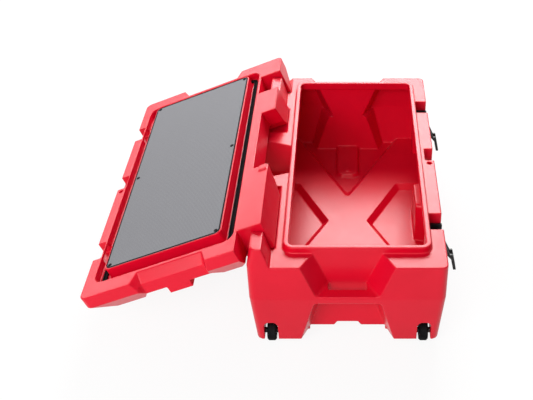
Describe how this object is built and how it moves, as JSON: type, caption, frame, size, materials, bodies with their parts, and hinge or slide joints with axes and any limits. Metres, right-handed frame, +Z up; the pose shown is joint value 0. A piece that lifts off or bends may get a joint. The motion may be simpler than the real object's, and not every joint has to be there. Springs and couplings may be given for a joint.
{
  "type": "wheeled storage box",
  "caption": "Long moulded storage box with a hinged sealing lid, side claw latches, end grip recesses, embossed cross floor and wheels at one end.",
  "frame": {"origin": "on the ground, under the middle of the tub", "axes": "+X from the hinge side to the latch side, +Y along the box away from the wheels, +Z up"},
  "size_m": [0.9728, 0.97, 0.3625],
  "materials": {
    "red_skin": "semi-gloss moulded polyethylene",
    "grey_panel": "fine textured sheet",
    "black_rubber": "matt rubber",
    "black_plastic": "matt black moulding",
    "black_steel": "black coated steel",
    "steel": "plain steel",
    "tyre": "matt rubber"
  },
  "bodies": {
    "tub": {"tub": "red_skin", "hinge_pin_near": "steel", "hinge_pin_far": "steel", "wheel_axle_left": "steel", "wheel_spacers_left": "black_plastic", "wheel_axle_right": "steel", "wheel_spacers_right": "black_plastic", "latch_base_near": "black_plastic", "latch_screws_near": "black_steel", "lever_pin_near": "steel", "latch_base_far": "black_plastic", "latch_screws_far": "black_steel", "lever_pin_far": "steel"},
    "lid": {"lid": "red_skin", "lid_gasket": "black_rubber", "lid_panel": "grey_panel", "panel_screws": "black_steel"},
    "wheel_left": {"wheel_hub_left": "black_plastic", "wheel_tyre_left": "tyre"},
    "wheel_right": {"wheel_hub_right": "black_plastic", "wheel_tyre_right": "tyre"},
    "lever_near": {"latch_lever_near": "black_plastic", "claw_pin_near": "steel"},
    "claw_near": {"latch_claw_near": "black_plastic"},
    "lever_far": {"latch_lever_far": "black_plastic", "claw_pin_far": "steel"},
    "claw_far": {"latch_claw_far": "black_plastic"}
  },
  "joints": [
    {"name": "lid_hinge", "type": "hinge", "parent": "tub", "child": "lid", "pos_m": [-0.225, 0, 0.3173], "axis": [0, -1, 0], "range_deg": [-201.9, 0]},
    {"name": "wheel_left_spin", "type": "hinge", "parent": "tub", "child": "wheel_left", "pos_m": [-0.2, -0.44, 0.028], "axis": [1, 0, 0], "continuous": true},
    {"name": "wheel_right_spin", "type": "hinge", "parent": "tub", "child": "wheel_right", "pos_m": [0.2, -0.44, 0.028], "axis": [1, 0, 0], "continuous": true},
    {"name": "lever_near_pivot", "type": "hinge", "parent": "tub", "child": "lever_near", "pos_m": [0.241, -0.295, 0.232], "axis": [0, -1, 0], "range_deg": [0, 110]},
    {"name": "claw_near_pivot", "type": "hinge", "parent": "lever_near", "child": "claw_near", "pos_m": [0.238, -0.295, 0.216], "axis": [0, 1, 0], "range_deg": [-168, 3]},
    {"name": "lever_far_pivot", "type": "hinge", "parent": "tub", "child": "lever_far", "pos_m": [0.241, 0.295, 0.232], "axis": [0, -1, 0], "range_deg": [0, 110]},
    {"name": "claw_far_pivot", "type": "hinge", "parent": "lever_far", "child": "claw_far", "pos_m": [0.238, 0.295, 0.216], "axis": [0, 1, 0], "range_deg": [-168, 3]}
  ]
}
